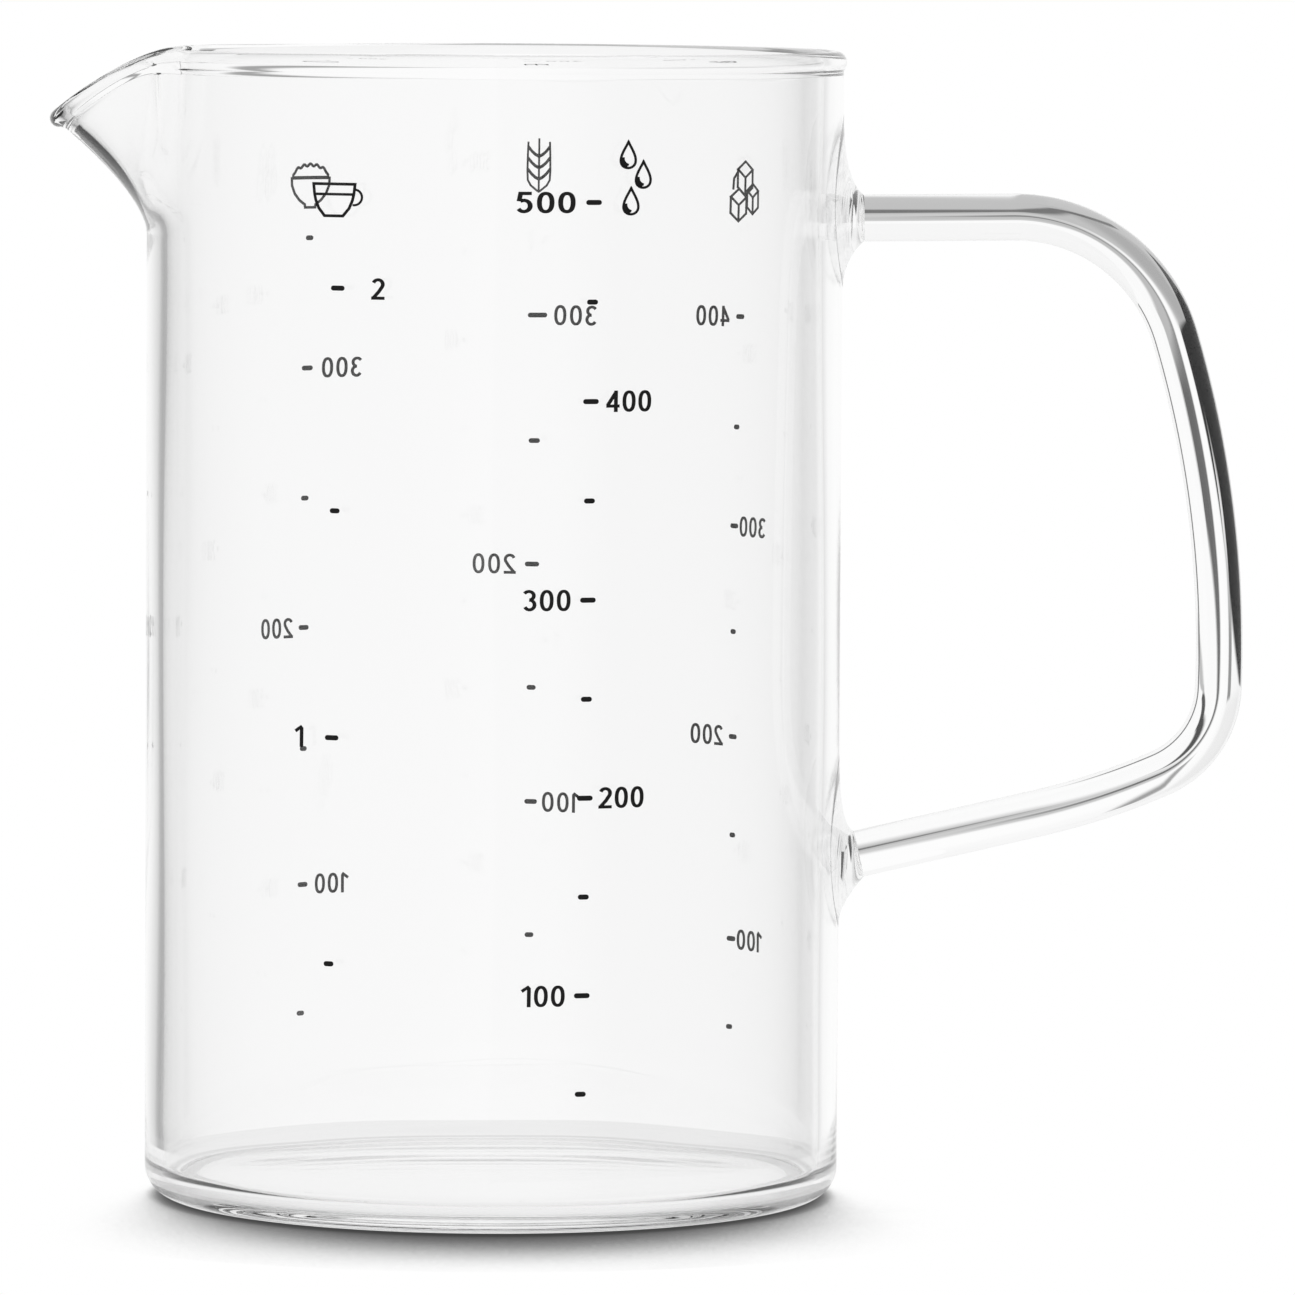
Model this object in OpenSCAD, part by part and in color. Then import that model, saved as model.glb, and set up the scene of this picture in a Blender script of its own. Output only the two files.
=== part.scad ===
/* [Glass tube] */
// Height from the table to the top of the rim
jug_h = 132; // [122:1:160]
// Outer diameter of the tube
jug_d = 80; // [74:1:96]
// Thickness of the tube's wall
wall_t = 2.1; // [1.6:0.1:2.4]
// Thickness of the flat base
base_t = 2.2; // [1.6:0.1:4]
// Outer radius of the heel, where the wall turns into the base
heel_r = 3.4; // [2.6:0.1:5]
// Radius between the inner floor and the bore
floor_r = 2.4; // [1.4:0.1:4]

/* [Rim and spout] */
// Diameter of the fire-polished bead round the rim
bead_d = 2.6; // [2.5:0.1:3.2]
// How far the bead stands out of the wall
bead_proud = 0.35; // [0.1:0.05:0.5]
// How far the lip of the spout reaches beyond the wall
spout_reach = 11.1; // [6:0.1:13]
// How far the lip lies below the rest of the rim
spout_drop = 7.1; // [3:0.1:9]
// Height of the stretch of wall that is drawn out, down from the rim
spout_h = 21; // [18:0.5:30]
// Angle to each side of the lip over which the wall is drawn out, in degrees
spout_half_a = 26; // [20:1:34]

/* [Handle] */
// Diameter of the glass rod
rod_d = 5.4; // [4:0.1:7]
// Drop from the rim to the middle of the upper weld
upper_weld_drop = 19.2; // [16:0.1:24]
// Angle by which the upper arm rises, in degrees
arm_rise_a = 0.7; // [0:0.1:4]
// Straight length of the upper arm, from the wall
upper_arm_l = 19.7; // [12:0.1:26]
// Radius of the upper bend, at the middle of the rod
upper_bend_r = 19.2; // [12:0.1:24]
// Angle that the upper bend turns through, in degrees
upper_bend_a = 73.8; // [66:0.1:78]
// Radius of the long bow of the grip
grip_bow_r = 126; // [100:1:150]
// Angle that the long bow of the grip turns through, in degrees
grip_bow_a = 18.7; // [15:0.1:21]
// Radius of the lower bend
lower_bend_r = 11.2; // [8:0.1:14]
// Angle that the lower bend turns through, in degrees
lower_bend_a = 64.6; // [60:0.1:68]
// Radius of the slight bow of the lower arm
lower_bow_r = 81; // [60:1:110]
// Angle that the slight bow of the lower arm turns through, in degrees
lower_bow_a = 10.6; // [7:0.1:13]

/* [Welds] */
// Radius of the foot of a weld, where it runs out on the wall
foot_r = 10; // [8:0.1:10.5]
// How far the middle of the foot lies above the middle of the rod
foot_lift = 2; // [1:0.1:2.5]
// Thickness of the foot at its edge
foot_edge_t = 0.1; // [0.05:0.05:0.3]
// Length of a weld, from the wall to the rod
weld_l = 2.4; // [2:0.1:3.5]

/* [Printed scales] */
// Thickness of the fired enamel
enamel_t = 0.08; // [0.05:0.01:0.15]
// Width of a numbered mark, round the wall
major_w = 1.8; // [1.2:0.1:2.4]
// Width of a mark between numbers
minor_w = 1.2; // [0.8:0.1:1.6]
// Height of every mark, along the wall
mark_h = 0.42; // [0.25:0.01:0.6]
// Angle from the front to the millilitre scale, in degrees
ml_a = 15.2; // [10:0.1:20]
// Angle from the front to the cup scale, in degrees
cup_a = -26.6; // [-30:0.1:-22]
// Angle from the front to the sugar scale, in degrees
sugar_a = 131.9; // [128:0.1:136]
// Angle from the front to the flour scale, in degrees
flour_a = 173.1; // [169:0.1:177]
// Angle from the front to the rice scale, in degrees
rice_a = 215.5; // [211:0.1:220]
// Angle by which the scales lean towards the handle at their tops, in degrees
print_lean_a = 0.6; // [0:0.1:1]
// Height of the lowest mark of the millilitre scale
ml_first_h = 16; // [12:0.1:20]
// Height of the lowest mark of the cup scale
cup_first_h = 30.5; // [26:0.1:34]
// Height of the lowest mark of the rice scale
rice_first_h = 17.3; // [13:0.1:21]
// Height of the lowest mark of the flour scale
flour_first_h = 26; // [22:0.1:30]
// Height at which the sugar scale starts
sugar_first_h = 15.3; // [12:0.1:19]
// Count of millilitres from one mark of the millilitre scale to the next
ml_step_count = 50; // [25:5:50]
// Half a cup, as a share of the volume between two millilitre marks
cup_step_share = 2.27; // [2:0.01:2.5]
// 50 grams of rice, as a share of the volume between two millilitre marks
rice_step_share = 1.38; // [1.2:0.01:1.5]
// 50 grams of flour, as a share of the volume between two millilitre marks
flour_step_share = 1.33; // [1.2:0.01:1.8]
// 50 grams of sugar, as a share of the volume between two millilitre marks
sugar_step_share = 1.087; // [1:0.001:1.2]

/* [Hidden] */
$fn = 96;
overrun = 1;
jug_r = jug_d / 2;
bore_r = jug_r - wall_t;
rod_r = rod_d / 2;

// The drawn ring starts here; below it the tube is a plain turned form
ring_z = jug_h - spout_h;
// The ring is sunk this far into the tube, and kept this far inside its faces
ring_lap = 1.5;
ring_inset = 0.05;
// Stations round the ring, close together over the spout and wider elsewhere
spout_stations = 26;
round_stations = 60;
// Levels of the wall and steps round the bead of one section of the ring
wall_levels = 9;
bead_steps = 12;
// The spout's plan, its dip and its flare, and how much of the bead is left at the lip
nose_power = 1.25;
dip_power = 1.8;
flare_power = 1.5;
lip_bead_share = 0.8;
// The wall runs up to this share of the bead's radius below its middle
tuck_share = 1.15;

// The rod's runs stop this far short of a turn, and its balls stand this far out of them
run_short = 0.05;
ball_proud = 0.02;

// Stations round a weld and steps from its foot to the rod
weld_stations = 48;
weld_steps = 14;
// How hollow a weld's trumpet is, and how late it turns from the wall to the rod
trumpet_power = 1.2;
turn_power = 1.5;

// Side of the cube that holds one millilitre
ml_cube_w = 10;
// The highest mark stays this far below the rim
mark_top_gap = 14;
mark_top = jug_h - mark_top_gap;
// How many marks the even scales have
ml_mark_count = 10;
cup_mark_count = 4;
rice_mark_count = 7;
// The flour and the sugar scale aren't even: each mark is this share of a millilitre step off
flour_off_share = [0, 0.11, 0.01, 0.01, 0, 0.01];
sugar_off_share = [0.11, -0.04, -0.02, -0.06, -0.02, 0.02, -0.01, 0.07];

// Angle that an arc of a length takes up on a circle
function arc_angle(l, r) = l / r * 180 / PI;

// Half sections of the tube, with a rounded heel outside and a rounded corner inside
module rounded_foot(r, z0, z1, corner_r) {
  translate([0, z0])
    square([r - corner_r, z1 - z0]);
  translate([0, z0 + corner_r])
    square([r, z1 - z0 - corner_r]);
  translate([r - corner_r, z0 + corner_r])
    circle(r = corner_r);
}

module tube_section() {
  intersection() {
    square([jug_r, ring_z]);
    difference() {
      rounded_foot(jug_r, 0, ring_z, heel_r);
      rounded_foot(bore_r, base_t, jug_h, floor_r);
    }
  }
}

// A smooth hump: 1 at the lip, 0 from the edge of the drawn stretch on
function hump(a) = abs(a) < spout_half_a ? (1 + cos(180 * a / spout_half_a)) / 2 : 0;
function drawn(a) = pow(hump(a), nose_power);
function bead_r(a) = bead_d / 2 * (1 - (1 - lip_bead_share) * drawn(a));
function bead_z(a) = jug_h - spout_drop * pow(hump(a), dip_power) - bead_r(a);

// How far the wall is drawn out at angle a and height z
function pushed(a, z) =
  (spout_reach - bead_proud) * drawn(a)
  * pow(max(0, z - ring_z) / (bead_z(a) - ring_z), flare_power);
function bead_x(a) = jug_r + bead_proud - bead_r(a) + pushed(a, bead_z(a));

// Lean of the drawn wall from upright where it runs into the bead
function lean(a) =
  atan((spout_reach - bead_proud) * drawn(a) * flare_power / (bead_z(a) - ring_z));

// The angles on the bead where the outer and the inner face run into it
function bead_from(a) = -acos(min(1, (bead_r(a) - bead_proud) / bead_r(a))) - lean(a);
function bead_to(a) =
  180 + acos(min(1, (wall_t + bead_proud - bead_r(a)) / bead_r(a))) - lean(a);

function wall_z(a, k) =
  ring_z + (bead_z(a) - tuck_share * bead_r(a) - ring_z) * k / wall_levels;
function wall_point(a, k, r, inset) = [r - inset + pushed(a, wall_z(a, k)), wall_z(a, k)];

// One closed section of the drawn ring: up the outer face, round the bead, down the inner face
function ring_section(a) = concat(
  [[jug_r - ring_inset, ring_z - ring_lap]],
  [for (k = [0:wall_levels]) wall_point(a, k, jug_r, k == 0 ? ring_inset : 0)],
  [for (k = [0:bead_steps])
    let (b = bead_from(a) + (bead_to(a) - bead_from(a)) * k / bead_steps)
    [bead_x(a) + bead_r(a) * cos(b), bead_z(a) + bead_r(a) * sin(b)]],
  [for (k = [wall_levels:-1:0]) wall_point(a, k, bore_r, k == 0 ? -ring_inset : 0)],
  [[bore_r + ring_inset, ring_z - ring_lap]]
);

function station_angle(i) = i <= spout_stations
  ? spout_half_a * (2 * i / spout_stations - 1)
  : spout_half_a + (360 - 2 * spout_half_a) * (i - spout_stations) / round_stations;

// The rim with its bead and the drawn spout, lofted through sections set round the axis
module drawn_ring() {
  count = spout_stations + round_stations;
  sections = [for (i = [0:count - 1]) ring_section(station_angle(i))];
  size = len(sections[0]);
  points = [for (i = [0:count - 1], p = sections[i])
    let (a = 180 - station_angle(i))
    [p[0] * cos(a), p[0] * sin(a), p[1]]];
  faces = [for (i = [0:count - 1], j = [0:size - 1])
    let (i2 = (i + 1) % count, j2 = (j + 1) % size)
    each [[i * size + j, i2 * size + j, i2 * size + j2],
          [i * size + j, i2 * size + j2, i * size + j2]]];
  polyhedron(points, faces);
}

module glass_body() {
  color("aliceblue", 0.5)
    union() {
      rotate_extrude($fn = 144)
        tube_section();
      drawn_ring();
    }
}

// The handle's centreline, as headings and places in the plane through the spout and the handle
function turn_end(p, h, r, a) = p + r * [sin(h) - sin(h - a), cos(h - a) - cos(h)];
upper_weld_z = jug_h - upper_weld_drop;
grip_h = arm_rise_a - upper_bend_a;
lower_bend_h = grip_h - grip_bow_a;
lower_bow_h = lower_bend_h - lower_bend_a;
lower_arm_h = lower_bow_h - lower_bow_a;
upper_bend_p = [jug_r, upper_weld_z] + upper_arm_l * [cos(arm_rise_a), sin(arm_rise_a)];
grip_p = turn_end(upper_bend_p, arm_rise_a, upper_bend_r, upper_bend_a);
lower_bend_p = turn_end(grip_p, grip_h, grip_bow_r, grip_bow_a);
lower_bow_p = turn_end(lower_bend_p, lower_bend_h, lower_bend_r, lower_bend_a);
lower_arm_p = turn_end(lower_bow_p, lower_bow_h, lower_bow_r, lower_bow_a);

// The lower arm runs straight on until it meets the wall
lower_arm_l = (jug_r - lower_arm_p[0]) / cos(lower_arm_h);
lower_weld_z = lower_arm_p[1] + lower_arm_l * sin(lower_arm_h);

// Each run of the rod stops a little short of the turn, and a ball closes the two runs up
module straight_rod(p, h, from_l, to_l) {
  translate([p[0], 0, p[1]])
    rotate([0, 90 - h, 0])
      translate([0, 0, from_l])
        cylinder(h = to_l - from_l, r = rod_r);
}

module bent_rod(p, h, r, a) {
  short_a = arc_angle(run_short, r);
  translate([p[0] + r * sin(h), 0, p[1] - r * cos(h)])
    rotate([90, 0, 0])
      rotate([0, 0, h - a + 90 + short_a])
        rotate_extrude(angle = a - 2 * short_a, $fn = 144)
          translate([r, 0])
            circle(r = rod_r);
}

module handle_rod() {
  color("aliceblue", 0.5)
    union() {
      straight_rod([jug_r, upper_weld_z], arm_rise_a, weld_l, upper_arm_l - run_short);
      bent_rod(upper_bend_p, arm_rise_a, upper_bend_r, upper_bend_a);
      bent_rod(grip_p, grip_h, grip_bow_r, grip_bow_a);
      bent_rod(lower_bend_p, lower_bend_h, lower_bend_r, lower_bend_a);
      bent_rod(lower_bow_p, lower_bow_h, lower_bow_r, lower_bow_a);
      straight_rod(lower_arm_p, lower_arm_h, run_short, lower_arm_l - weld_l);
      for (p = [upper_bend_p, grip_p, lower_bend_p, lower_bow_p, lower_arm_p])
        translate([p[0], 0, p[1]])
          sphere(r = rod_r + ball_proud);
    }
}

// How far along its way out a weld is at radius r: 0 on the foot's edge, 1 on the rod
function trumpet(r, edge_r) =
  let (end = pow(rod_r / edge_r, trumpet_power))
  (pow(rod_r / r, trumpet_power) - end) / (1 - end);

// A place on the wall, from its distance round the wall and its height
function wall_place(y, z) =
  [jug_r * cos(arc_angle(y, jug_r)), jug_r * sin(arc_angle(y, jug_r)), z];

// One point of a weld at angle a: share 0 lies on the foot's edge, share 1 on the end of the rod
function weld_point(z, rise, a, share) =
  let (edge = [foot_r * cos(a), foot_lift + foot_r * sin(a)],
       edge_r = norm(edge),
       r = edge_r + (rod_r - edge_r) * share,
       away = trumpet(r, edge_r),
       out = foot_edge_t + (weld_l - foot_edge_t) * away,
       y = edge[0] / edge_r * r,
       up = edge[1] / edge_r * r,
       on_wall = wall_place(y, z + up) + [out, 0, 0],
       on_rod = [jug_r + cos(rise) * out - sin(rise) * up, y, z + sin(rise) * out + cos(rise) * up])
  on_wall + (on_rod - on_wall) * pow(away, turn_power);

function weld_ring(z, rise, share) =
  [for (k = [0:weld_stations - 1]) weld_point(z, rise, 360 * k / weld_stations, share)];

// A gather of glass at height z: it runs out on the wall in a trumpet, and the rod leaves it
module weld(z, rise) {
  foot = weld_ring(z, rise, 0);
  sunk_foot = [for (p = foot) p - [overrun, 0, 0]];
  rings = concat([sunk_foot], [for (j = [0:weld_steps]) weld_ring(z, rise, j / weld_steps)]);
  last = (len(rings) - 1) * weld_stations;
  foot_middle = last + weld_stations;
  rod_middle = foot_middle + 1;
  points = concat(
    [for (ring = rings) each ring],
    [[jug_r - overrun, 0, z + foot_lift], [jug_r + weld_l * cos(rise), 0, z + weld_l * sin(rise)]]
  );
  faces = [for (k = [0:weld_stations - 1])
    let (k2 = (k + 1) % weld_stations)
    each concat(
      [[foot_middle, k, k2], [rod_middle, last + k2, last + k]],
      [for (j = [0:weld_stations:last - weld_stations])
        each [[j + k, j + weld_stations + k, j + weld_stations + k2],
              [j + k, j + weld_stations + k2, j + k2]]]
    )];
  color("lightsteelblue", 0.6)
    difference() {
      polyhedron(points, faces);
      translate([0, 0, z - 2 * foot_r])
        cylinder(h = 4 * foot_r, r = jug_r, $fn = 144);
    }
}

module upper_weld() {
  weld(upper_weld_z, arm_rise_a);
}

module lower_weld() {
  weld(lower_weld_z, lower_arm_h + 180);
}

// How far the bore fills up from one millilitre mark to the next
ml_step_h = ml_step_count * pow(ml_cube_w, 3) / (PI * pow(bore_r, 2));

// A print that leans slides sideways with height, so its angle is worked out mark by mark
function mark_angle(a, z) = a + asin((z - jug_h / 2) * tan(print_lean_a) / jug_r) / cos(a);

// One mark on the wall, at angle a from the front
module mark(a, z, w) {
  turn = arc_angle(w, jug_r);
  rotate([0, 0, a - 90 - turn / 2])
    rotate_extrude(angle = turn, $fn = 720)
      translate([jug_r, z - mark_h / 2])
        square([enamel_t, mark_h]);
}

function even(count) = [for (k = [1:count]) 0];

// A row of marks, one for each entry of the list; every second one carries a number and is wider
module scale_marks(a, first_h, step_share, off_share) {
  color("black")
    for (k = [0:len(off_share) - 1])
      let (z = first_h + ml_step_h * (k * step_share + off_share[k]))
        if (z < mark_top)
          mark(mark_angle(a, z), z, k % 2 == 1 ? major_w : minor_w);
}

module ml_scale() {
  scale_marks(ml_a, ml_first_h, 1, even(ml_mark_count));
}

module cup_scale() {
  scale_marks(cup_a, cup_first_h, cup_step_share, even(cup_mark_count));
}

module rice_scale() {
  scale_marks(rice_a, rice_first_h, rice_step_share, even(rice_mark_count));
}

module flour_scale() {
  scale_marks(flour_a, flour_first_h, flour_step_share, flour_off_share);
}

module sugar_scale() {
  scale_marks(sugar_a, sugar_first_h, sugar_step_share, sugar_off_share);
}

glass_body();
handle_rod();
upper_weld();
lower_weld();
ml_scale();
cup_scale();
rice_scale();
flour_scale();
sugar_scale();
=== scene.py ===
import math

import bpy
import numpy as np
from mathutils import Matrix, Vector


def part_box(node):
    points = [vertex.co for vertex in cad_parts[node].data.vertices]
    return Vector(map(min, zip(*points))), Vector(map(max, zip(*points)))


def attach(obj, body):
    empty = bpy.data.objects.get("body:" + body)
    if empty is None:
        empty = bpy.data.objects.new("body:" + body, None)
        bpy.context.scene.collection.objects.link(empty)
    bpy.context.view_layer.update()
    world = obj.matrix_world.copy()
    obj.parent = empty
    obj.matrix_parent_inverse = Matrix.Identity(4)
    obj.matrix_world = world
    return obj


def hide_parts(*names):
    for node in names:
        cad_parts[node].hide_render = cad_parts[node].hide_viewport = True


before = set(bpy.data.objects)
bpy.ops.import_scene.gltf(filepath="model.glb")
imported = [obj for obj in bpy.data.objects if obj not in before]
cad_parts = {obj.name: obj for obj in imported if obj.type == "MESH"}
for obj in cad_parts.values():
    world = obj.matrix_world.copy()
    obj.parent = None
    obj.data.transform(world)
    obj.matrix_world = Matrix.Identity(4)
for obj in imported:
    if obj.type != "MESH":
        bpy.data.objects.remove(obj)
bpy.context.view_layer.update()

# The glass body: one borosilicate tube. It is spun on a glass lathe, closed to a flat base
# with a rounded heel, fire-polished to a bead at the rim, and drawn out by hand to a spout.
# Turns are counted in degrees from the lip of the spout, and places in metres.
MM = 0.001
tube_low, tube_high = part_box("glass_body")
bead_proud = 0.35 * MM
jug_r = tube_high.y - bead_proud
jug_h = 132 * MM
wall_t = 2.1 * MM
bore_r = jug_r - wall_t
base_t = 2.2 * MM
heel_r = 3.4 * MM
floor_r = 2.4 * MM
bead_d = 2.6 * MM
spout_reach = -tube_low.x - jug_r
spout_drop = 7.1 * MM
spout_h = 21 * MM
spout_half_turn = 26
nose_power = 1.25
dip_power = 1.8
flare_power = 1.5
lip_bead_share = 0.8
tuck_share = 1.15
swell_h = 0.04 * MM
ring_z = jug_h - spout_h
worn_rings = (14, 17)
glass_ior = 1.473
glass_tint = (0.995, 0.995, 0.995)


def hump(turn):
    """1 at the lip, falling smoothly to 0 at the edge of the drawn stretch."""
    return np.where(np.abs(turn) < spout_half_turn,
                    (1 + np.cos(np.pi * turn / spout_half_turn)) / 2, 0)


def drawn(turn):
    return hump(turn) ** nose_power


def bead_radius(turn):
    return bead_d / 2 * (1 - (1 - lip_bead_share) * drawn(turn))


def bead_height(turn):
    return jug_h - spout_drop * hump(turn) ** dip_power - bead_radius(turn)


def draw_length(turn):
    return bead_height(turn) - ring_z


def pushed_out(turn, z):
    """How far the wall is drawn out of the round at height z."""
    up = np.maximum(0, z - ring_z) / draw_length(turn)
    return (spout_reach - bead_proud) * drawn(turn) * up ** flare_power


def wall_lean(turn):
    """Lean of the drawn wall where it runs into the bead, in radians."""
    return np.arctan((spout_reach - bead_proud) * drawn(turn) * flare_power / draw_length(turn))


def in_space(turn, radius, z):
    """Cylinder places, with the lip towards -X, as rows of x, y, z."""
    angle = np.radians(180 + turn)
    return np.stack(np.broadcast_arrays(radius * np.cos(angle), radius * np.sin(angle), z), -1)


def outer_wave(turn, z):
    """The tube isn't perfectly round: its outer face waves by a few hundredths."""
    t = np.radians(turn)
    return 0.012 * MM * (np.sin(3 * t + 0.8 + z / (31 * MM)) + np.sin(7 * t - z / (17 * MM)))


def inner_wave(turn, z):
    t = np.radians(turn)
    return 0.018 * MM * (np.sin(4 * t + 2.1 - z / (37 * MM)) + np.sin(9 * t + 1 + z / (13 * MM)))


def floor_height(turn, radius):
    """The inner floor: long shallow swells in its back half, left by the lathe and the flame."""
    angle = np.radians(180 + turn)
    x, y = radius * np.cos(angle), radius * np.sin(angle)
    swell_l = 14 * MM
    reach = 31 * MM
    bow = np.sqrt(np.maximum(0.02, 1 - (x / bore_r) ** 2))
    depth = y / bow
    fade = np.clip(1 - (x / reach) ** 2, 0, 1) * np.clip((depth - 5 * MM) / (6 * MM), 0, 1)
    fade = fade * np.clip((bore_r - floor_r - radius) / (2 * MM), 0, 1)
    return base_t + swell_h * fade * np.sin(2 * np.pi * depth / swell_l)


def ramp(start, stop, count):
    return np.linspace(start, stop, count, endpoint=False)


spout_turns = ramp(-spout_half_turn, spout_half_turn, 84)
round_turns = ramp(spout_half_turn, 360 - spout_half_turn, 236)
turns = np.concatenate([spout_turns, round_turns])
turns_signed = np.where(turns > 180, turns - 360, turns)
around = len(turns)


def tube_rings():
    """The rings of the tube's skin, from the middle of its underside, round the rim, to the floor."""
    t = turns_signed
    rings = []
    standing_r = jug_r - heel_r
    for radius in np.linspace(1 * MM, standing_r, 16):
        dish = 0.25 * MM * (1 - (radius / standing_r) ** 2) ** 2
        rings.append(in_space(t, radius, dish))
    for a in np.radians(np.linspace(-90, 0, 15)[1:]):
        rings.append(in_space(t, standing_r + heel_r * math.cos(a), heel_r * (1 + math.sin(a))))
    rings[-1] = in_space(t, jug_r + outer_wave(t, heel_r), heel_r)
    top = bead_height(t) - tuck_share * bead_radius(t)
    level_top = jug_h - bead_d / 2 * (1 + tuck_share)
    for row in np.linspace(heel_r, level_top, 129)[1:]:
        # Above the start of the draw the rows follow the dipping bead
        share = max(0, row - ring_z) / (level_top - ring_z)
        z = np.where(row > ring_z, ring_z + (top - ring_z) * share, row)
        rings.append(in_space(t, jug_r + outer_wave(t, z) + pushed_out(t, z), z))
    first = -np.arccos(np.minimum(1, (bead_radius(t) - bead_proud) / bead_radius(t)))
    inward = np.minimum(1, (wall_t + bead_proud - bead_radius(t)) / bead_radius(t))
    last = np.pi + np.arccos(inward)
    middle = jug_r + bead_proud - bead_radius(t) + pushed_out(t, bead_height(t))
    for share in np.linspace(0, 1, 25):
        b = first + (last - first) * share - wall_lean(t)
        rings.append(in_space(t, middle + bead_radius(t) * np.cos(b),
                              bead_height(t) + bead_radius(t) * np.sin(b)))
    for share in np.linspace(1, 0, 26):
        z = ring_z + (top - ring_z) * share
        rings.append(in_space(t, bore_r + inner_wave(t, z) + pushed_out(t, z), z))
    corner_z = base_t + floor_r
    for z in np.linspace(ring_z, corner_z, 22)[1:]:
        rings.append(in_space(t, bore_r + inner_wave(t, z), z))
    wave = inner_wave(t, corner_z)
    for a in np.radians(np.linspace(0, -90, 13)[1:]):
        radius = bore_r - floor_r + floor_r * math.cos(a) + wave * math.cos(a)
        rings.append(in_space(t, radius, corner_z + floor_r * math.sin(a)))
    for radius in np.linspace(bore_r - floor_r, 1 * MM, 64)[1:]:
        rings.append(in_space(t, radius, floor_height(t, radius)))
    return np.array(rings)


def make_mesh(name, points, faces, material):
    """A mesh piece, smooth but for its hard edges."""
    mesh = bpy.data.meshes.new(name)
    mesh.from_pydata([tuple(p) for p in points], [], faces)
    mesh.polygons.foreach_set("use_smooth", [True] * len(faces))
    mesh.set_sharp_from_angle(angle=math.radians(50))
    mesh.materials.append(material)
    mesh.validate()
    piece = bpy.data.objects.new(name, mesh)
    bpy.context.scene.collection.objects.link(piece)
    return piece


def node_material(name):
    material = bpy.data.materials.new(name)
    material.use_nodes = True
    nodes, links = material.node_tree.nodes, material.node_tree.links
    return material, nodes, links, nodes["Principled BSDF"]


def clear_glass(name, wave_scale):
    """Clear borosilicate: nearly colourless, with faint lines along the way it was drawn."""
    material, nodes, links, shader = node_material(name)
    shader.inputs["Roughness"].default_value = 0.0
    shader.inputs["IOR"].default_value = glass_ior
    shader.inputs["Transmission Weight"].default_value = 1.0
    shader.inputs["Base Color"].default_value = (*glass_tint, 1)
    place = nodes.new("ShaderNodeTexCoord")
    stretch = nodes.new("ShaderNodeMapping")
    stretch.inputs["Scale"].default_value = wave_scale
    noise = nodes.new("ShaderNodeTexNoise")
    noise.inputs["Scale"].default_value = 1.0
    noise.inputs["Detail"].default_value = 1.0
    bump = nodes.new("ShaderNodeBump")
    bump.inputs["Strength"].default_value = 1.0
    bump.inputs["Distance"].default_value = 0.004 * MM
    links.new(place.outputs["Object"], stretch.inputs["Vector"])
    links.new(stretch.outputs["Vector"], noise.inputs["Vector"])
    links.new(noise.outputs["Fac"], bump.inputs["Height"])
    links.new(bump.outputs["Normal"], shader.inputs["Normal"])
    return material


tube_glass = clear_glass("tube_glass", (60, 60, 12))


def worn_glass():
    """The ring that the jug stands on: matt from many kitchen tables, more here and less there."""
    material, nodes, links, shader = node_material("worn_glass")
    shader.inputs["IOR"].default_value = glass_ior
    shader.inputs["Transmission Weight"].default_value = 1.0
    shader.inputs["Base Color"].default_value = (*glass_tint, 1)
    place = nodes.new("ShaderNodeTexCoord")
    noise = nodes.new("ShaderNodeTexNoise")
    noise.inputs["Scale"].default_value = 150.0
    wear = nodes.new("ShaderNodeMapRange")
    wear.inputs["To Min"].default_value = 0.25
    wear.inputs["To Max"].default_value = 0.5
    links.new(place.outputs["Object"], noise.inputs["Vector"])
    links.new(noise.outputs["Fac"], wear.inputs["Value"])
    links.new(wear.outputs["Result"], shader.inputs["Roughness"])
    return material


def build_tube():
    """The rings joined to one closed skin, with a fan over the middle of each side of the base."""
    rings = tube_rings()
    count = len(rings)
    points = [p for ring in rings for p in ring]
    faces = []
    for j in range(count - 1):
        for i in range(around):
            k = (i + 1) % around
            faces.append((j * around + i, j * around + k, (j + 1) * around + k, (j + 1) * around + i))
    for end, flip in ((0, False), (count - 1, True)):
        points.append(np.array([0, 0, np.mean([p[2] for p in rings[end]])]))
        hub = len(points) - 1
        for i in range(around):
            k = (i + 1) % around
            a, b = end * around + i, end * around + k
            faces.append((hub, a, b) if flip else (hub, b, a))
    body = make_mesh("glass_tube", points, faces, tube_glass)
    body.data.materials.append(worn_glass())
    for face in body.data.polygons[worn_rings[0] * around:worn_rings[1] * around]:
        face.material_index = 1
    return body


tube = build_tube()
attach(tube, "root")
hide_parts("glass_body")

# The handle: one solid glass rod, bent over a flame in four places. Its two ends are held
# against the wall by the welds.
rod_r = 2.7 * MM
weld_l = 2.4 * MM
upper_weld_z = 112.8 * MM
arm_rise = 0.7
upper_arm_l = 19.7 * MM
rod_bends = [(19.2 * MM, 73.8), (126 * MM, 18.7), (11.2 * MM, 64.6), (81 * MM, 10.6)]
rod_step = 0.6 * MM


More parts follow.
